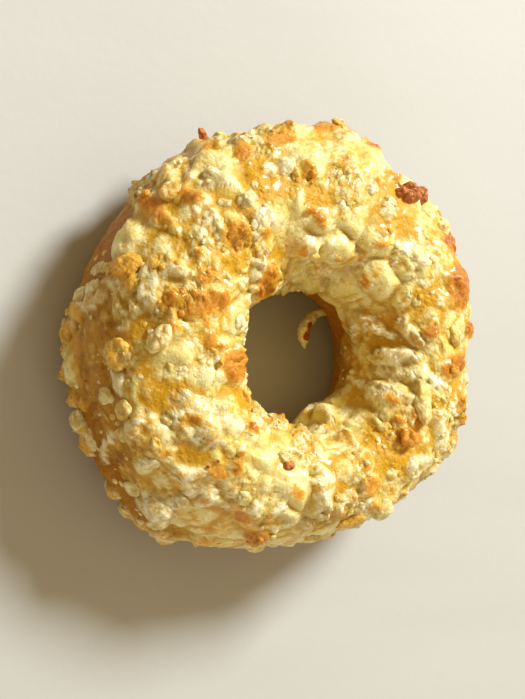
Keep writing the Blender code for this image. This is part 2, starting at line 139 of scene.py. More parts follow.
# Clumps of cheese that set on the sheet: around, section, length, width and height in millimetres with
# the angle between the length and the ring's own way, then how toasted and how creamy they are
CLUMPS = (
    (4, 63, 5.5, 7, 1.5, 140, 1.1, 0.2), (1, 117, 5.5, 4.2, 2.3, 20, 0.1, 0.9),
    (5, 102, 5.5, 5, 1.8, 80, 1.1, 0.1), (8, 121, 6.5, 4.2, 2.4, 30, 0.1, 0.9),
    (11, 147, 15, 4.2, 3, 50, 0.15, 1), (19, 64, 16, 11, 1.7, 120, 1.1, 0.2),
    (31, 53, 9, 8.5, 1.6, 40, 1.15, 0.1), (32, 95, 11, 8, 1.3, 0, 0, 0.5),
    (38, 58, 3.5, 5, 1, 170, 0.5, 0.4), (44, 143, 15.5, 7.5, 2.4, 80, 0, 0.2),
    (44, 102, 7.5, 2.5, 0.9, 150, 0.1, 0.6), (52, 107, 4, 3.5, 0.9, 50, 0.5, 0.2),
    (54, 93, 4.5, 4.5, 0.8, 150, 0.6, 0.2), (56, 82, 6.5, 3.5, 1.2, 50, 0.05, 0.9),
    (59, 54, 6, 3.5, 1.2, 60, 0.6, 0.4), (64, 26, 10.5, 5, 1.4, 70, 1.2, 0), (69, 14, 7, 5, 1.6, 30, 1, 0),
    (66, 70, 3, 3, 0.9, 30, 0.9, 0), (70, 130, 20.5, 8.5, 2.3, 0, 0, 0.2), (60, 143, 11, 5.5, 2, 30, 0, 0.3),
    (84, 128, 9, 5.5, 1.8, 150, 0, 0.4), (71, 52, 15.5, 14, 1.6, 100, 0.1, 0.1),
    (78, 90, 5, 4, 1, 140, 0, 1), (79, 66, 4, 3.5, 0.7, 10, 0.75, 0.1), (79, 26, 9, 6, 1.9, 40, 0.95, 0.1),
    (88, 58, 4.5, 5, 1.2, 0, 0.35, 0.6), (92, 100, 6.5, 3.5, 1.1, 140, 0.95, 0.1),
    (93, 75, 6, 5.5, 0.8, 140, 0.6, 0.2), (93, 30, 6.5, 5, 1.6, 20, 0.9, 0.1),
    (96, 42, 6.5, 5.5, 0.9, 170, 0.9, 0.1), (100, 42, 5, 5.5, 1, 0, 0.8, 0.1),
    (103, 64, 7, 8, 1.2, 110, 0, 1), (106, 36, 9, 4.5, 1.2, 170, 0.05, 0.9),
    (112, 45, 6.5, 7, 0.6, 110, 0.9, 0), (116, 24, 5, 4.5, 0.8, 130, 0.9, 0),
    (121, 90, 7, 4.5, 1.2, 170, 0, 1), (122, 42, 12.5, 11, 1.2, 90, 0.1, 0),
    (122, 102, 4, 3, 0.9, 150, 0.8, 0.1), (123, 100, 6, 3, 1, 150, 0.8, 0.2),
    (126, 22, 5, 6.5, 0.8, 140, 0, 1), (130, 115, 5, 4.5, 1.4, 150, 0.1, 1),
    (134, 25, 7, 9.5, 1.5, 120, 0.15, 0.8), (134, 132, 8.5, 13, 3.2, 70, 1.2, 0),
    (135, 47, 7, 5.5, 1.4, 80, 0.95, 0.1), (136, 86, 6, 8.5, 1.3, 60, 0.9, 0.1),
    (138, 64, 8, 6, 1, 90, 0.1, 1), (144, 33, 15, 5, 1.6, 70, 0.75, 0.1), (154, 66, 7.5, 3, 0.9, 80, 0, 0.9),
    (155, 27, 10, 8, 1.8, 20, 0, 0.1), (155, 84, 5.5, 3.5, 1, 110, 0.55, 0.3),
    (161, 58, 7.5, 5.5, 1.5, 90, 0.25, 0.7), (165, 105, 5, 4.5, 0.8, 120, 0.95, 0),
    (166, 41, 6, 6, 1.6, 160, 0.55, 0.4), (170, 84, 17.5, 6.5, 2.2, 110, 1, 0.2),
    (172, 17, 7, 6, 1.5, 110, 0.25, 0.7), (175, 4, 5.5, 6.5, 1.4, 10, 0.4, 0.4),
    (179, -6, 5, 4, 1.1, 60, 0.5, 0.3), (184, -10, 6, 3.5, 1.1, 20, 0.45, 0.3),
    (190, -8, 5, 3.5, 1, 100, 0.5, 0.2), (196, -7, 6, 3.5, 1.1, 30, 0.4, 0.4),
    (203, -4, 5.5, 4, 1.2, 70, 0.4, 0.4), (208, -6, 6, 4, 1.2, 10, 0.35, 0.5),
    (184, 68, 5, 4, 1.8, 30, 0.15, 0.7), (186, 105, 7.5, 6, 1.2, 60, 0.7, 0.3),
    (187, 40, 6, 5.5, 1.5, 150, 0.1, 0.7), (194, 40, 8, 3.5, 1.2, 20, 0, 1),
    (200, 122, 10, 12, 1.9, 0, 1, 0.1), (207, 75, 8, 5, 1.2, 0, 0, 0.7),
    (210, 48, 11.5, 9.5, 2.2, 40, 0.25, 0.1), (210, 16, 11.5, 3, 1.2, 130, 0.05, 0.8),
    (212, 79, 4.5, 4, 0.9, 60, 0.7, 0.2), (216, 88, 15, 11, 1.4, 20, 0.1, 0.5),
    (223, 134, 3, 3, 0.5, 0, 1.4, 0), (232, 112, 6, 4, 0.8, 40, 0.9, 0.1),
    (225, 58, 7, 3.5, 1.4, 60, 0.05, 0.8), (228, 22, 9, 9.5, 1.8, 160, 0.1, 0.8),
    (230, 73, 5, 3, 0.9, 20, 0.7, 0.3), (233, 54, 8, 5.5, 1.2, 50, 0, 0.9),
    (235, 85, 6.5, 3.5, 1.1, 110, 0.9, 0.1), (222, -8, 5, 3.5, 1.2, 40, 0.3, 0.5),
    (227, -10, 5.5, 4, 1.3, 120, 0.2, 0.6), (232, -12, 5, 3.5, 1.2, 20, 0.4, 0.4),
    (237, -6, 7, 4.5, 1.2, 100, 0.05, 0.8), (241, -14, 5, 4, 1.2, 70, 0.3, 0.5),
    (243, 57, 5.5, 3.5, 1.3, 170, 0.2, 0.7), (245, 20, 7.5, 5.5, 1.1, 160, 0.4, 0.5),
    (247, 55, 4, 4.5, 0.9, 20, 0.8, 0.2), (251, 144, 6.5, 6.5, 1.6, 150, 0.1, 0.5),
    (255, 40, 6, 6.5, 1.3, 40, 0.9, 0.2), (256, 59, 8, 5.5, 1.2, 90, 0.1, 0.7),
    (269, 50, 6, 5.5, 1.2, 50, 0.05, 0.8), (272, 85, 9.5, 6.5, 1.2, 120, 0, 1),
    (278, 141, 19.5, 5.5, 1.2, 30, 0.05, 0.6), (291, 55, 10.5, 7, 1.1, 140, 0, 0.9),
    (292, 131, 5.5, 5, 0.8, 90, 0.3, 0.4), (293, 80, 8, 5, 1.3, 130, 0.7, 0.4),
    (301, 58, 8.5, 5, 1.4, 120, 0.3, 0.6), (314, 101, 5.5, 4.5, 1.6, 130, 0.9, 0.1),
    (316, 67, 10.5, 5, 1.1, 160, 0.1, 0.8), (320, 107, 5, 3, 1, 110, 0.7, 0.3),
    (328, 131, 11, 6.5, 1.2, 80, 0, 0.8), (331, 106, 13.5, 4.5, 1.5, 10, 0.05, 0.5),
    (334, 157, 9.5, 3.5, 0.8, 60, 0, 0.8), (339, 57, 11, 5.5, 1.2, 50, 1.25, 0),
    (343, 91, 5.5, 4.5, 1.4, 70, 0, 1), (343, 129, 9.5, 5, 1.1, 80, 0.1, 0.5),
    (351, 76, 9.5, 5.5, 1.6, 120, 1.1, 0.2), (351, 130, 12.5, 3.8, 2.8, 85, 0.1, 1),
)
CLUMP_DEPTH = 9 * MM

# Curds that stand out: around, section, then length and width in millimetres
CURDS = (
    (125, 47, 4.4, 4.2), (163, 22, 4.6, 4), (164, 38, 8, 6.5), (169, 13, 6.2, 5.5), (171, -4, 6, 4.8),
    (180, -8, 6.5, 4.8), (184, 67, 7.5, 5), (137, 35, 6.5, 5.5), (122, 75, 5.5, 4.6), (187, 42, 8, 6),
    (197, 30, 5, 4.2), (202, 42, 5, 4.5), (202, -3, 6, 5), (207, 3, 6, 5), (222, 18, 5.8, 5.2),
    (229, 25, 9.5, 7.5), (230, 42, 4.2, 4), (243, 68, 5, 4.4), (258, 26, 8, 6), (276, 32, 5.6, 4.6),
    (287, 50, 9, 5.6), (296, 52, 7, 5.6), (303, 78, 4, 3.4), (316, 96, 5.4, 4.6), (333, 102, 11, 5),
    (3, 78, 7, 6), (36, 48, 6.5, 5.4), (78, 4, 8, 6), (100, 4, 7, 5),
)
CURD_LIFT = 0.03  # how high a curd's middle lies, as a share of its width
CURD_TUCK = 0.6 * MM
CURD_ROUGHNESS, CHEESE_ROUGHNESS = (0.34, 0.52), (0.24, 0.44)
CURD_COAT, CHEESE_COAT = 0.14, 0.30
STREWN_SEED = 31
STREWN_COUNT = 50
STREWN_SECTIONS = (-22.0, 192.0)
STREWN_LENGTH = (3.0 * MM, 5.6 * MM)
STREWN_MARGIN = 1.2 * MM
SMALL_SECTIONS = (-18.0, 186.0)
SMALL_LENGTHS = (1.3 * MM, 3.0 * MM)
CRUMB_LENGTHS = (0.8 * MM, 1.5 * MM)

# Burnt bits
BURNT_CLUSTER = (50, 57, 8.0 * MM, 6.0 * MM)
BURNT_KNOBS = 12
BURNT_RUN = ((5.5, 6.0), (1.5, 6.0))  # it spreads by these steps around and of section, either way
BURNT_SHARD_AT = (112, 4)
BURNT_SHARD_LENGTH = 7.0 * MM
BURNT_SHARD_WIDTH = 2.8 * MM
BURNT_SHARD_LEAN = (-20.0, 15.0, 0.0)
BURNT_EDGE_COLOUR = (0.72, 0.28, 0.07)

# Small burnt bits that lie singly: around, section, then their size in millimetres
BURNT_SPECKS = (
    (256, 103, 3.2), (219, 79, 0.9), (228, 77, 0.8), (227, 70, 0.8),
)

# The curl of cheese that hangs into the hole
CURL_ROOT = (24, 196)
CURL_STEPS = (
    (2.5, 0.4, -0.6), (-2.6, -0.6, 0.4), (-4.6, -2.0, 1.0), (-6.4, -4.4, 1.2), (-6.9, -7.4, 1.0),
    (-6.0, -9.8, 0.4),
)
CURL_RADII = (1.2, 0.9, 1.0, 1.5, 1.2, 0.3)
CURL_BURNT = ((-5.5, -4.2, 2.3), (-6.5, -6.8, 2.2))  # it is burnt near the line between these steps
CURL_BEVEL = 1.15 * MM

# The stage: each light's name, place, size, power and colour, then the room's own soft light
LIGHTS = (
    ("window", (0.75, 0.84, 1.00), 0.46, 34.4, (0.96, 0.98, 0.97)),
    ("sky_panel", (0.05, -0.88, 0.36), 0.8, 2.4, (1.0, 0.95, 0.86)),
)
ROOM_COLOUR = (1.0, 0.72, 0.34, 1.0)
ROOM_STRENGTH = 0.425
TABLE_SIZE = 3.0

# The camera looks down on the bagel from its left
CAMERA_LEAN = 30.62
CAMERA_TURN = 8.0
CAMERA_DISTANCE = 520 * MM
CAMERA_HEIGHT = 18 * MM
CAMERA_LENS = 105.5
CAMERA_REACH = (0.01, 20.0)
CAMERA_OFF_AXIS = (-0.00748, -0.0051)  # how far right and up of the ring's middle the view is aimed


def length_property(name, description, millimetres, least=0.0):
    limits = {"default": millimetres * MM, "min": least * MM}
    return FloatProperty(name=name, description=description, unit="LENGTH", precision=5, **limits)


def count_property(name, description, default):
    return IntProperty(name=name, description=description, default=default, min=0)


def colour_property(name, description, default):
    return FloatVectorProperty(
        name=name, description=description, default=default, subtype="COLOR", size=3, min=0.0, max=1.0
    )


class BagelSizes(PropertyGroup):
    """Sizes of the cheese and of what lies on it."""

    cheese_thickness: length_property("Cheese thickness", "Melted sheet between its lumps", 1.1)
    fold_height: length_property("Fold height", "Broad lumps that the melted cheese has set in", 1.3)
    curd_height: length_property("Curd height", "Curds that are half melted into the sheet", 1.15)
    ridge_height: length_property("Ridge height", "Creamy ridges where shreds of cheese lay", 0.9)
    relief_limit: length_property("Relief limit", "Height that the lumps never quite reach", 4.4, 0.1)
    grain_height: length_property("Grain height", "Small grains that crowd on the lumps", 0.55)
    loose_curds: count_property("Loose curds", "Small curds strewn on the cheese and the crust", 340)
    crumbs: count_property("Crumbs", "Crumbs between the curds", 220)


class BagelColours(PropertyGroup):
    """Colours of the bagel and its stage, as linear red, green and blue."""

    amber: colour_property("Thin cheese", "Amber film in the valleys and at the edges", (0.68, 0.36, 0.010))
    # Painted shade: the darker amber-brown that the creases and hollows of the cheese are tinted with
    shaded_crease_colour: colour_property("Creases", "Browned fat between grains of cheese", (0.57, 0.33, 0.020))
    melted: colour_property("Melted cheese", "Oily golden cheese between the lumps", (0.79, 0.67, 0.19))
    pale: colour_property("Pale cheese", "Set cheese on the lumps", (0.85, 0.80, 0.41))
    cream: colour_property("Cream curds", "Curds that hardly coloured", (0.92, 0.91, 0.66))
    gilded: colour_property("Gilded cheese", "Cheese that the oven only tinged", (0.80, 0.475, 0.07))
    toasted: colour_property("Toasted cheese", "Cheese that the oven browned", (0.65, 0.27, 0.03))
    scorched: colour_property("Scorched cheese", "Darkest spots of the browned cheese", (0.34, 0.075, 0.004))
    glaze: colour_property("Glazed crust", "Crust under a film of melted cheese", (0.34, 0.125, 0.0))
    crust: colour_property("Crust", "Baked crust on the sides", (0.38, 0.155, 0.002))
    base: colour_property("Underside", "Paler crust that lay on the tray", (0.50, 0.25, 0.020))
    floor: colour_property("Floor", "Plain pale table top", (0.54, 0.55, 0.53))


def ramp(low, high, x):
    """0 up to the low value, 1 from the high one on, and an eased rise between them."""
    t = np.clip((x - low) / (high - low), 0.0, 1.0)
    return t * t * (3.0 - 2.0 * t)


def turned(degrees, at, times):
    return np.cos(np.radians(times * (degrees - at)))


def limb(around):
    """Middle and half width of the dough along each direction from the ring's centre."""
    outer = OUTER_RADIUS + OUTER_STRETCH * turned(around, OUTER_STRETCH_AT, 2)
    outer = outer + OUTER_CORNERS * turned(around, OUTER_CORNERS_AT, 3)
    hole = HOLE_RADIUS + HOLE_STRETCH * turned(around, HOLE_STRETCH_AT, 2)
    along = HOLE_OFFSET[0] * np.cos(np.radians(around)) + HOLE_OFFSET[1] * np.sin(np.radians(around))
    inner = along + np.sqrt(along**2 - HOLE_OFFSET @ HOLE_OFFSET + hole**2)
    return (outer + inner) / 2, (outer - inner) / 2


def dough(around, section):
    """Points of the plain ring, about its own axis."""
    around, section = np.asarray(around, float), np.asarray(section, float)
    middle, half_width = limb(around)
    widest = WIDEST_SHARE * HEIGHT
    rise = np.sin(np.radians(section))
    depth = np.where(rise >= 0, HEIGHT - widest, UNDERSIDE_DEPTH * widest)
    out = middle + half_width * np.cos(np.radians(section))
    a = np.radians(around)
    return np.stack((out * np.cos(a), out * np.sin(a), widest + depth * rise), axis=-1)


def outwards(around, section):
    """Directions that face away from the dough."""
    round_ring = dough(around + 1.0, section) - dough(around - 1.0, section)
    round_section = dough(around, section + 1.0) - dough(around, section - 1.0)
    out = np.cross(round_ring, round_section)
    return out / np.linalg.norm(out, axis=-1, keepdims=True)


def nearness(points, places):
    """For each place, how near each point is: 1 in its middle, falling away over its last size."""
    for around, section, *size in places:
        apart = np.linalg.norm(points - dough(around, section), axis=-1)
        yield size, np.exp(-((apart / (size[-1] * MM)) ** 2))


def closeness(points, places):
    return sum(share for _, share in nearness(points, places))


def noise_at(points, spacing, shift=(0.0, 0.0, 0.0)):
    return np.array([noise.noise(Vector(p)) for p in points / spacing + np.array(shift)])


def bent(points, reach=BEND, spacing=BEND_SPACING):
    """Points moved a little, so that a pattern read there is less regular."""
    moves = [noise_at(points, spacing, (shift, 0.0, 0.0)) for shift in (0.0, 31.0, 67.0)]
    return points + reach * np.stack(moves, axis=-1)


def lumps(points, spacing, spread, profile):
    """Lumps whose profile follows the distances to the nearest centres, uneven in height by the spread."""
    heights = np.empty(len(points))
    for index, p in enumerate(points / spacing):
        apart, centres = noise.voronoi(Vector(p))
        heights[index] = profile(apart) * (1.0 + spread * noise.noise(centres[0] * 5.3))
    return heights


def domes(points, spacing, steepness, spread):
    """Round lumps, from 0 between them to about 1 on their tops."""
    return lumps(points, spacing, spread, lambda apart: max(0.0, 1.0 - steepness * apart[0] ** 2))


def pillows(points, spacing, spread=0.8):
    """Packed lumps that meet in creases, from 0 in a crease to about 1."""

    def profile(apart):
        side = math.sin(0.5 * math.pi * min(1.0, 1.7 * (apart[1] - apart[0])))
        return side * (1.0 - 0.5 * apart[0] ** 2)

    return lumps(points, spacing, spread, profile)


def swelling(points):
    height = sum(size[0] * MM * share for size, share in nearness(points, KNUCKLES))
    return height + 0.5 * MM * noise_at(points, 20 * MM)


def coverage(points, section):
    """How surely cheese lies at each point: over 0 where it does."""
    edge = np.minimum(section - OUTER_EDGE, INNER_EDGE - section) / EDGE_BLUR
    cover = 0.55 * np.minimum(1.0, edge)
    cover = cover + 0.60 * noise_at(points, PATCH_SPACING)
    cover = cover + 0.30 * noise_at(points, EDGE_SPACING, (7.0, 3.0, 5.0))
    return cover - 1.4 * closeness(points, BARE_PLACES)


def upper_share(section):
    return ramp(-50.0, -20.0, np.minimum(section, 180.0 - section))


def unwrapped(section):
    """The same section angle, counted from -90 to 270."""
    return (section + 90.0) % 360.0 - 90.0


def deselect():
    bpy.ops.object.select_all(action="DESELECT")


def select_only(objects):
    deselect()
    for one in objects:
        one.select_set(True)
    bpy.context.view_layer.objects.active = objects[0]


def link(name, data):
    """A new object in the scene."""
    made = bpy.data.objects.new(name, data)
    bpy.context.scene.collection.objects.link(made)
    return made


def read_points(mesh):
    points = np.empty(len(mesh.vertices) * 3)
    mesh.vertices.foreach_get("co", points)
    return points.reshape(-1, 3)


def write_points(mesh, points):
    mesh.vertices.foreach_set("co", np.asarray(points, np.float32).ravel())
    mesh.update()


def write_shares(mesh, name, shares):
    """Keeps one number a point, mostly from 0 to 1, that a material reads."""
    attribute = mesh.attributes.new(name, "FLOAT", "POINT")
    attribute.data.foreach_set("value", np.clip(shares, 0.0, 2.0).astype(np.float32))


def hollowness(mesh, rounds):
    """How far each point lies under the mean of its neighbours: over 0 in creases, under 0 on crests."""
    points = read_points(mesh)
    ends = np.empty(2 * len(mesh.edges), np.int32)
    mesh.edges.foreach_get("vertices", ends)
    first, last = ends.reshape(-1, 2).T
    near, far = np.concatenate((first, last)), np.concatenate((last, first))
    ways = np.bincount(near, minlength=len(points))
    mean = points
    for _ in range(rounds):
        mean = np.stack([np.bincount(near, axis[far]) / ways for axis in mean.T], axis=1)
    normals = np.empty(3 * len(points))
    mesh.vertices.foreach_get("normal", normals)
    return np.sum((mean - points) * normals.reshape(-1, 3), axis=1)


def add_ring(name, ring_steps, section_steps):
    """A torus primitive, and the two angles of each of its points."""
    deselect()
    bpy.ops.mesh.primitive_torus_add(
        major_segments=ring_steps,
        minor_segments=section_steps,
        major_radius=OUTER_RADIUS,
        minor_radius=HEIGHT / 2,
    )
    ring = bpy.context.object
    ring.name = name
    x, y, z = read_points(ring.data).T
    around = np.degrees(np.arctan2(y, x)) % 360.0
    section = np.degrees(np.arctan2(z, np.hypot(x, y) - OUTER_RADIUS))
    return ring, around, section


def finish_piece(piece, material):
    piece.data.materials.clear()
    piece.data.materials.append(material)
    piece.data.shade_smooth()
    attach(piece, BODY)


def feed(tree, fed, inputs):
    """Puts a value, or a link where a socket is given, on each of a node's inputs."""
    for name, value in inputs.items():
        if isinstance(value, bpy.types.NodeSocket):
            tree.links.new(value, fed.inputs[name])
        else:
            fed.inputs[name].default_value = value


def node(tree, kind, inputs, **settings):
    """A shader node with its settings and its inputs."""
    made = tree.nodes.new(kind)
    for name, value in settings.items():
        setattr(made, name, value)
    feed(tree, made, inputs)
    return made


def mixed(tree, share, first, second):
    """The colour between two colours."""
    first, second = (c if isinstance(c, bpy.types.NodeSocket) else (*c, 1.0) for c in (first, second))
    return node(tree, "ShaderNodeMix", {0: share, 6: first, 7: second}, data_type="RGBA").outputs[2]


def ranged(tree, value, low, high, to_low=0.0, to_high=1.0):
    """A number spread smoothly from one range to another."""
    inputs = {0: value, 1: low, 2: high, 3: to_low, 4: to_high}
    return node(tree, "ShaderNodeMapRange", inputs, interpolation_type="SMOOTHSTEP").outputs[0]


def combined(tree, operation, first, second):
    return node(tree, "ShaderNodeMath", {0: first, 1: second}, operation=operation).outputs[0]


def grain(tree, place, spacing, detail=2.0, roughness=0.5):
    """Cloudy noise with the given spacing."""
    inputs = {"Vector": place, "Scale": 1.0 / spacing, "Detail": detail, "Roughness": roughness}
    return node(tree, "ShaderNodeTexNoise", inputs).outputs["Fac"]


def cells(tree, place, spacing, feature="SMOOTH_F1"):
    inputs = {"Vector": place, "Scale": 1.0 / spacing}
    return node(tree, "ShaderNodeTexVoronoi", inputs, feature=feature).outputs["Distance"]


def wavered(tree, place, spacing, reach):
    """The place moved a little by noise, so that a pattern read there is less regular."""
    inputs = {"Vector": place, "Scale": 1.0 / spacing, "Detail": 1.0}
    moves = node(tree, "ShaderNodeTexNoise", inputs).outputs["Color"]
    reaches = {0: moves, 1: (reach, reach, reach)}
    moved = node(tree, "ShaderNodeVectorMath", reaches, operation="MULTIPLY").outputs[0]
    return node(tree, "ShaderNodeVectorMath", {0: place, 1: moved}, operation="ADD").outputs[0]


def share_of(tree, name):
    return node(tree, "ShaderNodeAttribute", {}, attribute_name=name).outputs["Fac"]


def new_material(name):
    """A material, its node tree and the place that its patterns are read at."""
    material = bpy.data.materials.new(name)
    material.use_nodes = True
    return material, material.node_tree, node(material.node_tree, "ShaderNodeTexCoord", {}).outputs["Object"]


def finished(material, finish):
    feed(material.node_tree, material.node_tree.nodes["Principled BSDF"], finish)
    return material


def dented(tree, height, depth, under=None):
    """Bumps of the given depth, on top of other bumps if there are any."""
    inputs = {"Height": height, "Distance": depth, "Strength": 1.0}
    if under is not None:
        inputs["Normal"] = under
    return node(tree, "ShaderNodeBump", inputs).outputs["Normal"]


def cheese_material(name, colours, curdled):
    """Baked cheese: amber where it is thin, golden where it melted, cream on curds, browned on tops, with
    painted shade in its creases and hollows.
    """
    material, tree, place = new_material(name)
    cloud = grain(tree, place, 6 * MM, 3.0)
    fine = grain(tree, place, 1.3 * MM, 4.0, 0.6)
    speckle = grain(tree, place, 0.5 * MM, 3.0, 0.7)

    def ragged_share(name, reach):
        return combined(tree, "ADD", share_of(tree, name), ranged(tree, fine, 0.3, 0.7, -reach, reach))

    golden = mixed(tree, ranged(tree, cloud, 0.32, 0.62), colours.melted, colours.pale)
    if not curdled:
        thin = ranged(tree, ragged_share("amber", 0.2), 0.25, 1.0)
        golden = mixed(tree, thin, golden, colours.amber)
        filmy = mixed(tree, ranged(tree, cloud, 0.40, 0.62, 0.0, 0.55), colours.glaze, colours.amber)
        golden = mixed(tree, share_of(tree, "film"), golden, filmy)
    colour = mixed(tree, ranged(tree, ragged_share("cream", 0.10), 0.1, 1.0), golden, colours.cream)
    browned = ragged_share("toast", 0.16)
    stages = ((0.02, 0.42, colours.gilded), (0.34, 0.84, colours.toasted), (0.86, 1.36, colours.scorched))
    for low, high, tint in stages:
        colour = mixed(tree, ranged(tree, browned, low, high), colour, tint)
    rough = share_of(tree, "rough")
    waved = wavered(tree, place, 1.6 * MM, 1.3 * MM)
    pebbles = cells(tree, waved, 1.9 * MM, "F1")
    # Painted shade: where the cheese is rough, the creases between its pebbles are tinted towards the darker
    # crease colour
    creases = combined(tree, "MULTIPLY", rough, ranged(tree, pebbles, 0.36, 0.68, 0.0, 0.85))
    colour = mixed(tree, creases, colour, colours.shaded_crease_colour)
    # Painted shade: the cheese is darkened further in the hollows of its mesh
    colour = mixed(tree, combined(tree, "MULTIPLY", share_of(tree, "hollow_shade"), 0.55), colour, colours.shaded_crease_colour)
    shade = ranged(tree, speckle, 0.32, 0.68, 0.87, 1.08)
    grey = node(tree, "ShaderNodeCombineColor", {0: shade, 1: shade, 2: shade}).outputs[0]
    shaded = {0: 1.0, 6: colour, 7: grey}
    colour = node(tree, "ShaderNodeMix", shaded, data_type="RGBA", blend_type="MULTIPLY").outputs[2]
    bumps = dented(tree, grain(tree, place, 1.1 * MM, 5.0, 0.66), 0.28 * MM)
    bumps = dented(tree, cells(tree, place, 0.75 * MM), -0.15 * MM, bumps)
    bumps = dented(tree, combined(tree, "MULTIPLY", rough, pebbles), -0.95 * MM, bumps)
    finish = {
        "Base Color": colour,
        "Roughness": ranged(tree, fine, 0.3, 0.7, *(CURD_ROUGHNESS if curdled else CHEESE_ROUGHNESS)),
        "Normal": bumps,
        "Subsurface Weight": 0.42,
        "Subsurface Radius": (1.0, 0.72, 0.30),
        "Subsurface Scale": 1.7 * MM,
        "Specular IOR Level": 0.20,
        "Coat Weight": CURD_COAT if curdled else CHEESE_COAT,
        "Coat Roughness": 0.13,
    }
    return finished(material, finish)


def crust_material(colours):
    """Baked dough: amber and glazed on top, brown on the sides, paler and duller underneath."""
    material, tree, place = new_material("baked_crust")
    cloud = grain(tree, place, 9 * MM, 4.0)
    fine = grain(tree, place, 1.6 * MM, 5.0, 0.65)
    top, under = share_of(tree, "glaze"), share_of(tree, "under")
    side = mixed(tree, ranged(tree, cloud, 0.35, 0.65), colours.crust, colours.base)
    glazed = combined(tree, "MULTIPLY", top, ranged(tree, cloud, 0.3, 0.7, 0.6, 1.0))
    colour = mixed(tree, glazed, side, colours.glaze)
    colour = mixed(tree, under, colour, colours.base)
    colour = mixed(tree, ranged(tree, fine, 0.42, 0.68, 0.0, 0.55), colour, colours.scorched)
    pores = cells(tree, place, 1.3 * MM, "F1")
    bumps = dented(tree, fine, 0.25 * MM)
    bumps = dented(tree, ranged(tree, pores, 0.0, 0.55), -0.26 * MM, bumps)
    dullness = ranged(tree, top, 0.0, 1.0, 0.50, 0.26)
    finish = {
        "Base Color": colour,
        "Roughness": combined(tree, "ADD", dullness, combined(tree, "MULTIPLY", fine, 0.2)),
        "Normal": bumps,
        "Subsurface Weight": 0.03,
        "Subsurface Radius": (1.0, 0.45, 0.15),
        "Subsurface Scale": 0.8 * MM,
        "Specular IOR Level": 0.2,
        "Coat Weight": 0.08,
        "Coat Roughness": 0.15,
    }
    return finished(material, finish)


def burnt_material(colours):
    """Cheese cooked to a hard red-brown bit."""
    material, tree, place = new_material("burnt_cheese")
    fine = grain(tree, place, 0.9 * MM, 4.0, 0.7)
    finish = {
        "Base Color": mixed(tree, ranged(tree, fine, 0.36, 0.64), colours.scorched, BURNT_EDGE_COLOUR),
        "Roughness": ranged(tree, fine, 0.3, 0.7, 0.3, 0.55),
        "Normal": dented(tree, grain(tree, place, 0.6 * MM, 4.0, 0.65), 0.5 * MM),
        "Subsurface Weight": 0.05,
        "Subsurface Scale": 0.5 * MM,
    }
    return finished(material, finish)


def floor_material(colours):
    """A plain pale table top, faintly clouded."""
    material, tree, place = new_material("pale_table")
    stretched = node(tree, "ShaderNodeMapping", {"Vector": place, "Scale": (1.0, 7.0, 1.0)}).outputs[0]
    cloud = grain(tree, stretched, 160 * MM, 3.0)
    finish = {
        "Base Color": mixed(tree, cloud, tuple(0.9 * c for c in colours.floor), colours.floor),
        "Roughness": ranged(tree, cloud, 0.3, 0.7, 0.55, 0.7),
        "Normal": dented(tree, grain(tree, place, 3 * MM, 3.0), 0.05 * MM),
    }
    return finished(material, finish)


def skin(around, section):
    """Points of the cheese or of the bare crust, about the ring's own axis."""
    around, section = (np.atleast_1d(np.asarray(angle, float)) for angle in (around, section))
    section = unwrapped(section)
    plain = dough(around, section)
    height = cheese_form(plain, section, bpy.context.scene.bagel_sizes)[0] + swelling(plain)
    points = plain + outwards(around, section) * (height * upper_share(section))[:, None]
    points[:, 2] = np.maximum(points[:, 2], 0.0)
    return points


def skin_frames(around, section, turns):
    """Matrices at the skin: their Z faces out, and their X lies along the skin, turned by an angle."""
    outs = outwards(around, section)
    alongs = dough(around + 1.0, section) - dough(around - 1.0, section)
    for point, out, along, turn in zip(skin(around, section), outs, alongs, turns):
        out = Vector(out)
        along = (Matrix.Rotation(turn, 3, out) @ Vector(along).normalized()).normalized()
        placed = Matrix((along, out.cross(along), out)).transposed().to_4x4()
        placed.translation = Vector(point)
        yield placed


def curd_prototypes(count, subdivisions, seed):
    """Lumpy blobs about 1 across, as if small grains had melted together."""
    made = []
    for number in range(count):
        deselect()
        bpy.ops.mesh.primitive_ico_sphere_add(subdivisions=subdivisions, radius=0.5)
        blob = bpy.context.object
        away = Vector((seed * 7.0 + number * 3.1, number * 5.7, 1.3))
        for vertex in blob.data.vertices:
            where = vertex.co * 2.0
            knob = 1.0 + 0.36 * noise.noise(where * 1.0 + away)
            apart = noise.voronoi(where * 1.1 + away)[0]
            knob += 0.20 * math.sqrt(min(1.0, 1.6 * (apart[1] - apart[0]))) - 0.14
            vertex.co = vertex.co * knob
        made.append(blob)
    return made


def sized(lift, length, width, height):
    """The size of a blob about 1 across, which is then lifted off the skin."""
    return Matrix.Translation((0, 0, lift)) @ Matrix.Diagonal((length, width, height, 1.0))


def strew(name, prototypes, places, rough):
    """One piece with a copy of a prototype at each place, given as its matrix and its shares."""
    copies, toast, cream = [], [], []
    for number, (matrix, browned, creamy) in enumerate(places):
        source = prototypes[number % len(prototypes)]
        copy = link(name, source.data.copy())
        copy.data.transform(matrix)
        copies.append(copy)
        toast += [browned] * len(copy.data.vertices)
        cream += [creamy] * len(copy.data.vertices)
    select_only(copies)
    bpy.ops.object.join()
    for prototype in prototypes:
        bpy.data.objects.remove(prototype)
    piece = copies[0]
    piece.name = name
    piece.data.transform(Matrix.Translation(RING_CENTRE))
    write_shares(piece.data, "toast", np.array(toast))
    write_shares(piece.data, "cream", np.array(cream))
    write_shares(piece.data, "rough", np.full(len(cream), rough))
    return piece


def smoothness(points):
    """Where the cheese flowed out smooth, from 0 to 1."""
    return ramp(0.25, 0.8, closeness(points, SMOOTH_PLACES))


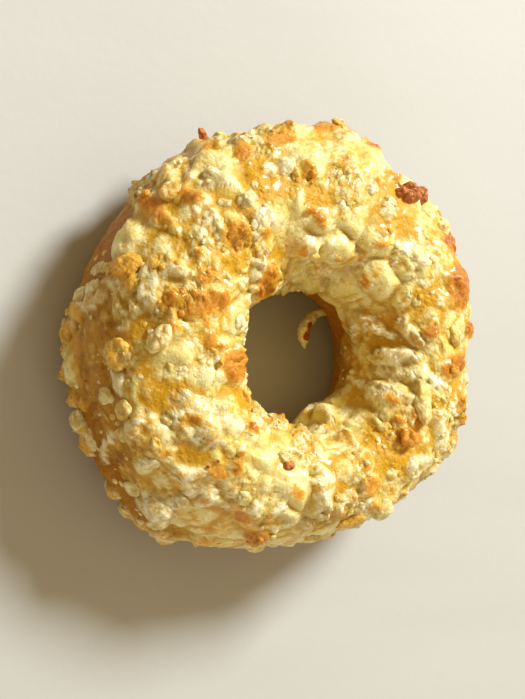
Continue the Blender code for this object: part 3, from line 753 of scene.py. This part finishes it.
def crowding(points):
    """Where curds crowd together, from 0 to 1."""
    crowd = ramp(-0.30, 0.22, noise_at(points, 12 * MM, (3.0, 9.0, 1.0)))
    return crowd * (1.0 - 0.85 * smoothness(points))


def filmed(points):
    """Where only a film of cheese lies on the crust, from 0 to 1."""
    ragged = 0.30 * noise_at(points, 5 * MM, (4.0, 2.0, 9.0))
    return ramp(0.35, 0.75, closeness(points, FILM_PLACES) + ragged)


def thinness(points):
    """Where the cheese ran thin, from 0 to 1."""
    ragged = 0.25 * noise_at(points, 6 * MM, (2.0, 2.0, 7.0))
    return ramp(0.35, 0.85, closeness(points, THIN_PLACES) + ragged)


def clump_shares(points):
    """Height of the clumps at each point, and how toasted and how creamy they are there."""
    height, toasted, creamy = (np.zeros(len(points)) for _ in range(3))
    for around, section, length, width, rise, turn, toast, cream in CLUMPS:
        out = outwards(around, section)
        along = dough(around + 1.0, section) - dough(around - 1.0, section)
        along /= np.linalg.norm(along)
        across = np.cross(out, along)
        cosine, sine = math.cos(math.radians(turn)), math.sin(math.radians(turn))
        away = points - dough(around, section)
        u = away @ (cosine * along + sine * across) / (0.5 * length * MM)
        v = away @ (cosine * across - sine * along) / (0.5 * width * MM)
        share = np.clip(1.0 - (u**2 + v**2) / 1.25 - (away @ out / CLUMP_DEPTH) ** 2, 0.0, 1.0)
        height = np.maximum(height, rise * MM * share**0.6)
        rim = ramp(0.0, 0.12, share) * (1.0 - ramp(0.25, 0.55, share))
        toasted = np.maximum(toasted, toast * ramp(0.06, 0.80, share))
        creamy = np.maximum(creamy, np.maximum(cream * ramp(0.0, 0.3, share), 0.75 * rim))
    return height, toasted, creamy


def cheese_form(plain, section, sizes):
    """Height of the cheese above the dough, and the shares that its colour follows."""
    place = bent(plain)
    near_place = bent(place, 0.8 * MM, 2.4 * MM)
    clumps, toasted, creamy = clump_shares(near_place)
    crowd, smooth, thin, film = crowding(plain), smoothness(plain), thinness(plain), filmed(place)
    broad = pillows(place, LUMP_SPACINGS[0])
    knobs = pillows(near_place, LUMP_SPACINGS[1])
    nubs = pillows(near_place + 0.6 * MM, LUMP_SPACINGS[2], 1.2)
    grains = pillows(bent(plain, 0.4 * MM, 1.2 * MM), LUMP_SPACINGS[3], 1.4)
    ridges = ramp(0.55, 0.95, 1.0 - 4.5 * np.abs(noise_at(near_place, 9 * MM, (8.0, 4.0, 6.0))))
    ridges *= ramp(-0.10, 0.20, noise_at(plain, 8 * MM, (6.0, 7.0, 1.0))) * (0.2 + 0.8 * crowd)
    relief = sizes.fold_height * broad * (1.0 + 0.8 * smooth)
    relief += sizes.curd_height * knobs * (0.18 + 0.92 * crowd)
    relief += sizes.grain_height * (nubs * (0.15 + 0.95 * crowd) + 0.35 * grains * crowd)
    relief += sizes.ridge_height * ridges * (0.7 + 0.6 * nubs)
    relief *= (1.0 - 0.78 * thin) * (1.0 - 0.9 * film)
    relief += sizes.grain_height * (film * (0.55 * nubs + 0.35 * grains) + 0.16 * thin * grains)
    cover = coverage(plain, section)
    relief *= ramp(-0.02, 0.35, cover)
    risen = ramp(0.1, 0.6, clumps / MM)
    rough = risen * (0.35 + 0.65 * np.maximum(crowd, np.minimum(1.0, toasted + creamy)))
    relief += clumps * (1.0 - 0.3 * thin)
    relief += sizes.grain_height * (1.2 * (nubs - 0.5) + 0.7 * (grains - 0.5)) * rough
    relief += sizes.curd_height * 0.5 * (knobs - 0.5) * rough
    relief = sizes.relief_limit * np.tanh(relief / sizes.relief_limit)
    cover = np.maximum(cover, 0.6 * ramp(0.0, 0.5, clumps / MM) - 0.12)
    edge = np.clip((cover + 0.06) / 0.30, 0.0, 1.0)
    edge = np.sqrt(1.0 - (1.0 - edge) ** 2)
    height = edge * sizes.cheese_thickness * (0.45 + 0.55 * ramp(0.0, 0.5, cover)) * (1.0 - 0.6 * film)
    height += relief
    level = np.clip(relief / (3.0 * MM), 0.0, 1.0)
    top = 0.40 * broad + 0.35 * knobs + 0.25 * nubs
    browning = ramp(0.02, 0.42, noise_at(plain, 11 * MM, (1.0, 6.0, 2.0)))
    flat = 1.0 - np.maximum(thin, film)
    toasted = np.maximum(toasted, 0.9 * ramp(0.50, 0.80, top) * browning * flat)
    toasted = np.maximum(toasted, 0.85 * ramp(0.85, 1.15, knobs) * (0.35 + 0.65 * browning) * flat)
    # Cream on the untoasted tops of knobs and nubs: partly the pale colour of set curds, partly painted
    # highlight
    tops = ramp(0.30, 0.65, 0.5 * knobs + 0.5 * nubs)
    creamy = np.maximum(creamy, 0.8 * crowd * tops * (1.0 - browning) * flat)
    # Painted shade: in the creases between knobs the cream is thinned out and amber is mixed in
    low_knobs, low_nubs = 1.0 - ramp(0.10, 0.42, knobs), 1.0 - ramp(0.10, 0.36, nubs)
    crease = np.maximum(low_knobs, 0.8 * low_nubs * crowd)
    creamy = np.maximum(creamy, ridges * flat)
    creamy *= 1.0 - 0.8 * crease
    amber = np.maximum(thin * (1.0 - ramp(0.15, 0.45, level)), 1.0 - ramp(0.02, 0.34, level))
    amber = np.maximum(amber * (1.0 - 0.75 * smooth), 0.75 * crease * (1.0 - 0.5 * smooth))
    deep = np.maximum(film, 1.0 - ramp(0.0, 0.30, cover)) * (1.0 - ramp(0.12, 0.36, level))
    deep *= 1.0 - 0.7 * ramp(0.55, 1.05, nubs)
    patches = ramp(-0.22, 0.12, noise_at(place, 7 * MM, (5.0, 1.0, 8.0)))
    rough = (0.2 + 0.8 * patches) * np.maximum(crowd, 0.8 * creamy) * flat
    rough = np.maximum(rough, 0.4 * np.maximum(thin, film))
    shares = {"toast": toasted, "cream": creamy, "amber": amber, "film": deep, "rough": rough}
    return height, cover, shares


def toasted_at(around, section):
    """How toasted the cheese is at each place, from 0 to 1."""
    return clump_shares(bent(np.atleast_2d(dough(around, section))))[1]


class BAGEL_OT_crust(Operator):
    """Makes the ring of baked dough, with its flat underside"""

    bl_idname = "bagel.crust"
    bl_label = "Crust"

    def execute(self, context):
        colours = context.scene.bagel_colours
        ring, around, section = add_ring("crust", *CRUST_STEPS)
        section = unwrapped(section)
        plain = dough(around, section)
        height = swelling(plain) * upper_share(section)
        blisters = 0.35 * MM * domes(bent(plain), 3.4 * MM, 2.6, 1.2) + 0.3 * MM * noise_at(plain, 4 * MM)
        above = ramp(1.5 * MM, 8 * MM, plain[:, 2])
        points = plain + outwards(around, section) * (height + blisters * above)[:, None]
        points[:, 2] = np.maximum(points[:, 2], 0.0)
        write_points(ring.data, points + RING_CENTRE)
        write_shares(ring.data, "glaze", ramp(-12.0, 34.0, np.minimum(section, 180.0 - section)))
        write_shares(ring.data, "under", 1.0 - ramp(0.5 * MM, 7 * MM, points[:, 2]))
        finish_piece(ring, crust_material(colours))
        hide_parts("bagel")
        return {"FINISHED"}


class BAGEL_OT_cheese(Operator):
    """Makes the sheet of melted cheese, with the lumps and curds that are sunk in it"""

    bl_idname = "bagel.cheese"
    bl_label = "Melted cheese"

    def execute(self, context):
        sizes, colours = context.scene.bagel_sizes, context.scene.bagel_colours
        sheet, around, section = add_ring("melted_cheese", *CHEESE_STEPS)
        step = np.round((section % 360.0) / 360.0 * CHEESE_STEPS[1]).astype(int) % CHEESE_STEPS[1]
        front_steps = CHEESE_STEPS[1] - CHEESE_BACK_STEPS
        low, high = CHEESE_REACH
        front = step <= front_steps
        section = np.where(
            front,
            low + (high - low) * step / front_steps,
            high - (high - low) * (step - front_steps) / CHEESE_BACK_STEPS,
        )
        plain = dough(around, section)
        height, cover, shares = cheese_form(plain, section, sizes)
        hidden = -1.0 * MM * np.clip((-0.06 - cover) / 0.05, 0.0, 1.0)
        height = height + hidden
        fading = ramp(low + 1.0, low + 12.0, section) * ramp(high - 1.0, high - 12.0, section)
        height = np.where(front, height * fading - 1.2 * MM * (1.0 - fading), -CHEESE_TUCK - 1.2 * MM)
        height = height + swelling(plain) * upper_share(section)
        points = plain + outwards(around, section) * height[:, None]
        points[:, 2] = np.maximum(points[:, 2], 0.8 * MM)
        write_points(sheet.data, points + RING_CENTRE)
        # How deep each point lies in a hollow: this sets the painted shade in the hollows and the painted
        # highlight on the crests
        hollow_shade = hollowness(sheet.data, 6) / MM
        shares["hollow_shade"] = ramp(0.04, 0.28, hollow_shade)
        # Painted highlight: the crests are lightened towards cream
        shares["cream"] = shares["cream"] + 0.15 * ramp(0.10, 0.35, -hollow_shade)
        for name, share in shares.items():
            write_shares(sheet.data, name, share)
        finish_piece(sheet, cheese_material("melted_cheese", colours, False))
        return {"FINISHED"}


class BAGEL_OT_curds(Operator):
    """Makes the curds that stand out of the cheese"""

    bl_idname = "bagel.curds"
    bl_label = "Curds"

    def execute(self, context):
        places = []
        turns = random.Random(STREWN_SEED + 1)
        for around, section, length, width in CURDS:
            places.append((around, section, turns.uniform(-0.6, 0.6), length * MM, width * MM))
        draw = random.Random(STREWN_SEED)
        while len(places) < len(CURDS) + STREWN_COUNT:
            around, section = draw.uniform(0, 360), draw.uniform(*STREWN_SECTIONS)
            length = draw.triangular(STREWN_LENGTH[0], STREWN_LENGTH[1], STREWN_LENGTH[0])
            turn, slimness = draw.uniform(0, math.pi), draw.uniform(0.7, 0.95)
            plain = dough(around, section)
            if draw.random() > math.hypot(*plain[:2]) / OUTER_RADIUS or plain[2] < STREWN_MARGIN + length / 2:
                continue
            places.append((around, section, turn, length, length * slimness))
        around, section, turned_by, lengths, widths = (np.array(values) for values in zip(*places))
        shades = random.Random(STREWN_SEED + 5)
        toasted = toasted_at(around, section)
        curds = []
        for number, placed in enumerate(skin_frames(around, section, turned_by)):
            length, width = lengths[number], widths[number]
            size = sized(width * CURD_LIFT - CURD_TUCK, length, width, 0.8 * width)
            browned = 0.6 * toasted[number] + 0.4 * shades.random() ** 3
            curds.append((placed @ size, browned, shades.uniform(0.1, 0.8)))
        piece = strew("curds", curd_prototypes(9, 4, 1), curds, 0.6)
        finish_piece(piece, cheese_material("curd_cheese", context.scene.bagel_colours, True))
        return {"FINISHED"}


class BAGEL_OT_crumbs(Operator):
    """Strews the small curds and the crumbs, which crowd together on the lumps"""

    bl_idname = "bagel.crumbs"
    bl_label = "Small curds and crumbs"

    def execute(self, context):
        sizes = context.scene.bagel_sizes
        self.scatter("small_curds", sizes.loose_curds, SMALL_LENGTHS, 2, 61)
        self.scatter("crumbs", sizes.crumbs, CRUMB_LENGTHS, 1, 62)
        return {"FINISHED"}

    def scatter(self, name, count, lengths, subdivisions, seed):
        draw = random.Random(seed)
        tries = 6 * count
        around = np.array([draw.uniform(0, 360) for _ in range(tries)])
        section = np.array([draw.uniform(*SMALL_SECTIONS) for _ in range(tries)])
        plain = dough(around, section)
        spread = np.hypot(plain[:, 0], plain[:, 1]) / (OUTER_RADIUS + 3 * MM)
        wanted = spread * np.maximum(0.06 + 0.94 * crowding(plain) ** 2, filmed(plain))
        kept = [index for index in range(tries) if draw.random() < wanted[index]][:count]
        around, section = around[kept], section[kept]
        toasted = toasted_at(around, section)
        turns = [draw.uniform(0, math.pi) for _ in kept]
        places = []
        for index, placed in enumerate(skin_frames(around, section, turns)):
            length = draw.triangular(lengths[0], lengths[1], lengths[0])
            slimness, lift = draw.uniform(0.65, 1.0), draw.uniform(-0.28, -0.04)
            size = sized(lift * length, length, length * slimness, length * slimness * 0.7)
            browned = 0.08 + 0.5 * toasted[index] + 0.6 * draw.random() ** 2
            cream = draw.uniform(0.15, 0.85)
            places.append((placed @ size, browned, cream))
        piece = strew(name, curd_prototypes(8, subdivisions, seed), places, 0.15)
        finish_piece(piece, bpy.data.materials["curd_cheese"])


class BAGEL_OT_burnt_bits(Operator):
    """Makes the knobbly burnt cluster and the burnt shard on the rim"""

    bl_idname = "bagel.burnt_bits"
    bl_label = "Burnt bits"

    def execute(self, context):
        around, section, length, width = BURNT_CLUSTER
        draw = random.Random(STREWN_SEED + 2)
        spread = np.array([(draw.uniform(-1, 1), draw.uniform(-1, 1)) for _ in range(BURNT_KNOBS)])
        spots = (around, section) + spread @ np.array(BURNT_RUN)
        turns = [draw.uniform(0, math.pi) for _ in range(BURNT_KNOBS)]
        places = []
        knob = sized(0.8 * width * CURD_LIFT, length * 0.42, width * 0.5, width * 0.65)
        for placed in skin_frames(*spots.T, turns):
            places.append((placed @ knob, 1.0, 0.0))
        around, section, wide = np.array(BURNT_SPECKS).T
        for size, placed in zip(wide * MM, skin_frames(around, section, np.zeros(len(wide)))):
            places.append((placed @ sized(0.0, size, size, size), 1.0, 0.0))
        shard = next(skin_frames(*np.array((BURNT_SHARD_AT,), float).T, (0.0,)))
        lean = Euler(np.radians(BURNT_SHARD_LEAN)).to_matrix().to_4x4()
        size = sized(0.2 * BURNT_SHARD_LENGTH, BURNT_SHARD_WIDTH, BURNT_SHARD_WIDTH, BURNT_SHARD_LENGTH)
        places.append((shard @ lean @ size, 1.0, 0.0))
        piece = strew("burnt_bits", curd_prototypes(5, 4, 9), places, 0.0)
        finish_piece(piece, burnt_material(context.scene.bagel_colours))
        return {"FINISHED"}


class BAGEL_OT_curl(Operator):
    """Makes the curl of melted cheese that hangs into the hole"""

    bl_idname = "bagel.curl"
    bl_label = "Hanging curl"

    def execute(self, context):
        line = bpy.data.curves.new("curl_line", "CURVE")
        line.dimensions = "3D"
        line.bevel_depth = CURL_BEVEL
        line.bevel_resolution = 4
        line.resolution_u = 10
        line.use_fill_caps = True
        spline = line.splines.new("BEZIER")
        spline.bezier_points.add(len(CURL_STEPS) - 1)
        root = Vector(skin(*CURL_ROOT)[0])
        for point, step, radius in zip(spline.bezier_points, CURL_STEPS, CURL_RADII):
            point.co = root + Vector(step) * MM
            point.handle_left_type = point.handle_right_type = "AUTO"
            point.radius = radius
        guide = link("curl_guide", line)
        context.view_layer.update()
        mesh = bpy.data.meshes.new_from_object(guide.evaluated_get(context.evaluated_depsgraph_get()))
        bpy.data.objects.remove(guide)
        curl = link("hanging_curl", mesh)
        select_only([curl])
        bpy.ops.object.mode_set(mode="EDIT")
        bpy.ops.mesh.select_all(action="SELECT")
        bpy.ops.mesh.remove_doubles(threshold=0.01 * MM)
        bpy.ops.mesh.normals_make_consistent(inside=False)
        bpy.ops.mesh.subdivide(number_cuts=1)
        bpy.ops.object.mode_set(mode="OBJECT")
        points = read_points(curl.data)
        steps = np.array(root) + np.array(CURL_STEPS) * MM
        nearest = steps[np.argmin(np.linalg.norm(points[:, None] - steps[None], axis=2), axis=1)]
        away = points - nearest
        away /= np.linalg.norm(away, axis=1, keepdims=True) + 1e-9
        ragged = 0.55 * MM * noise_at(points, 2.0 * MM) + 0.35 * MM * noise_at(points, 0.8 * MM)
        points = points + away * ragged[:, None]
        first, last = np.array(root) + np.array(CURL_BURNT) * MM
        run = last - first
        along = np.clip((points - first) @ run / (run @ run), 0.0, 1.0)
        burnt = 1.0 - ramp(0.85, 1.35, np.linalg.norm(points - first - along[:, None] * run, axis=1) / MM)
        write_shares(curl.data, "toast", 2.0 * burnt)
        write_shares(curl.data, "cream", np.full(len(points), 0.3))
        write_shares(curl.data, "rough", np.full(len(points), 0.3))
        write_points(curl.data, points + RING_CENTRE)
        finish_piece(curl, bpy.data.materials["curd_cheese"])
        return {"FINISHED"}


class BAGEL_OT_stage(Operator):
    """Makes the table top, the soft lights and the camera"""

    bl_idname = "bagel.stage"
    bl_label = "Stage"

    def execute(self, context):
        scene = context.scene
        deselect()
        bpy.ops.mesh.primitive_plane_add(size=TABLE_SIZE)
        floor = context.object
        floor.name = "table_top"
        floor.data.materials.append(floor_material(scene.bagel_colours))
        floor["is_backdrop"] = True
        for light in LIGHTS:
            self.add_light(*light)
        world = bpy.data.worlds.new("soft_room")
        scene.world = world
        world.use_nodes = True
        room = world.node_tree.nodes["Background"]
        room.inputs["Color"].default_value = ROOM_COLOUR
        room.inputs["Strength"].default_value = ROOM_STRENGTH
        scene.view_settings.view_transform = "Standard"
        self.add_camera(scene)
        return {"FINISHED"}

    def add_light(self, name, place, size, power, colour):
        lamp = bpy.data.lights.new(name, "AREA")
        lamp.shape = "DISK"
        lamp.size = size
        lamp.energy = power
        lamp.color = colour
        light = link(name, lamp)
        light.location = place
        light.rotation_euler = (-Vector(place)).to_track_quat("-Z", "Y").to_euler()

    def add_camera(self, scene):
        lean, turn = math.radians(CAMERA_LEAN), math.radians(CAMERA_TURN)
        away = Vector((-math.sin(lean) * math.cos(turn), -math.sin(lean) * math.sin(turn), math.cos(lean)))
        up = Vector((0.0, 1.0, 0.0))
        up = (up - up.dot(away) * away).normalized()
        right = up.cross(away)
        back = (away - CAMERA_OFF_AXIS[0] * right - CAMERA_OFF_AXIS[1] * up).normalized()
        lens = bpy.data.cameras.new("camera")
        lens.lens = CAMERA_LENS
        lens.clip_start, lens.clip_end = CAMERA_REACH
        camera = link("camera", lens)
        up = (up - up.dot(back) * back).normalized()
        placed = Matrix((up.cross(back), up, back)).transposed().to_4x4()
        middle = Vector(RING_CENTRE) + Vector((0.0, 0.0, CAMERA_HEIGHT))
        placed.translation = middle + away * CAMERA_DISTANCE
        camera.matrix_world = placed
        scene.camera = camera


class BAGEL_PT_panel(Panel):
    """Lists the bagel's sizes, colours and pieces"""

    bl_idname = "BAGEL_PT_panel"
    bl_label = "Bagel"
    bl_space_type = "VIEW_3D"
    bl_region_type = "UI"
    bl_category = "Bagel"

    def draw(self, context):
        for group in (context.scene.bagel_sizes, context.scene.bagel_colours):
            for name in group.__annotations__:
                self.layout.prop(group, name)
        for operator in PIECES:
            self.layout.operator(operator.bl_idname)


PIECES = (
    BAGEL_OT_stage,
    BAGEL_OT_crust,
    BAGEL_OT_cheese,
    BAGEL_OT_curds,
    BAGEL_OT_crumbs,
    BAGEL_OT_burnt_bits,
    BAGEL_OT_curl,
)
CLASSES = (BagelSizes, BagelColours, *PIECES, BAGEL_PT_panel)


def register():
    for made in CLASSES:
        bpy.utils.register_class(made)
    bpy.types.Scene.bagel_sizes = PointerProperty(type=BagelSizes)
    bpy.types.Scene.bagel_colours = PointerProperty(type=BagelColours)


def unregister():
    del bpy.types.Scene.bagel_colours
    del bpy.types.Scene.bagel_sizes
    for made in reversed(CLASSES):
        bpy.utils.unregister_class(made)


def main():
    register()
    for operator in PIECES:
        group, name = operator.bl_idname.split(".")
        getattr(getattr(bpy.ops, group), name)()
    boxes = {"cad": CAD_BOX, "visual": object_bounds()}
    {name: [list(corner) for corner in box] for name, box in boxes.items()}


if __name__ == "__main__":
    main()
